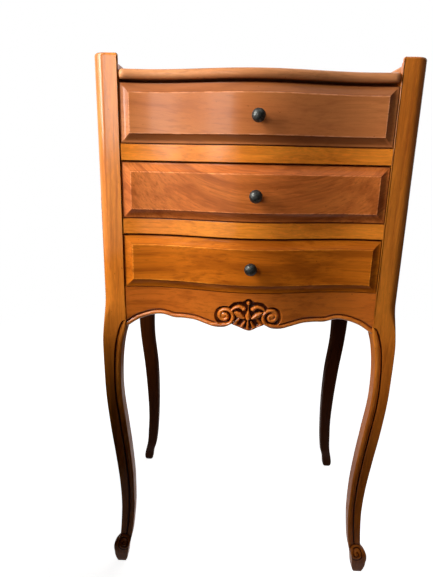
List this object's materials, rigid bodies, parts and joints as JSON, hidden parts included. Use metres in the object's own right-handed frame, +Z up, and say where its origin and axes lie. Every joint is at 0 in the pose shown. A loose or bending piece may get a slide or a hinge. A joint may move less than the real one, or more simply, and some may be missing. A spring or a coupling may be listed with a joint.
{
  "type": "bedside commode chest",
  "caption": "Small bedside chest with sliding drawers, a serpentine front, a scalloped apron and cabriole legs that rise as rounded corner posts round the top.",
  "frame": {"origin": "bottom centre of the whole chest, on the floor", "axes": "+Z up, -Y towards the user with the drawer fronts, +X to the user's right"},
  "size_m": [0.3924, 0.3142, 0.72],
  "materials": {
    "cherry": "satin varnished cherry, honey brown",
    "cherry_front": "satin varnished cherry, a little redder",
    "inner_wood": "plain unvarnished wood",
    "plywood": "thin unvarnished plywood",
    "pewter": "dark lightly hammered metal",
    "steel": "plain screw steel"
  },
  "bodies": {
    "carcass": {"front_left_leg": "cherry", "front_right_leg": "cherry", "rear_left_leg": "cherry", "rear_right_leg": "cherry", "left_side_panel": "cherry", "right_side_panel": "cherry", "top_panel": "cherry", "upper_drawer_rail": "cherry", "lower_drawer_rail": "cherry", "front_apron": "cherry", "back_gallery_rail": "cherry", "back_bottom_rail": "cherry", "back_panel": "plywood", "upper_left_runner": "inner_wood", "upper_right_runner": "inner_wood", "middle_left_runner": "inner_wood", "middle_right_runner": "inner_wood", "lower_left_runner": "inner_wood", "lower_right_runner": "inner_wood", "front_left_glue_block": "inner_wood", "front_right_glue_block": "inner_wood", "rear_left_glue_block": "inner_wood", "rear_right_glue_block": "inner_wood"},
    "upper_drawer": {"upper_drawer_front": "cherry_front", "upper_drawer_left_side": "inner_wood", "upper_drawer_right_side": "inner_wood", "upper_drawer_back": "inner_wood", "upper_drawer_bottom": "plywood", "upper_knob": "pewter", "upper_knob_screw": "steel"},
    "middle_drawer": {"middle_drawer_front": "cherry_front", "middle_drawer_left_side": "inner_wood", "middle_drawer_right_side": "inner_wood", "middle_drawer_back": "inner_wood", "middle_drawer_bottom": "plywood", "middle_knob": "pewter", "middle_knob_screw": "steel"},
    "lower_drawer": {"lower_drawer_front": "cherry_front", "lower_drawer_left_side": "inner_wood", "lower_drawer_right_side": "inner_wood", "lower_drawer_back": "inner_wood", "lower_drawer_bottom": "plywood", "lower_knob": "pewter", "lower_knob_screw": "steel"}
  },
  "joints": [
    {"name": "upper_drawer_slide", "type": "slide", "parent": "carcass", "child": "upper_drawer", "axis": [0, -1, 0], "range_m": [0, 0.18]},
    {"name": "middle_drawer_slide", "type": "slide", "parent": "carcass", "child": "middle_drawer", "axis": [0, -1, 0], "range_m": [0, 0.18]},
    {"name": "lower_drawer_slide", "type": "slide", "parent": "carcass", "child": "lower_drawer", "axis": [0, -1, 0], "range_m": [0, 0.18]}
  ]
}
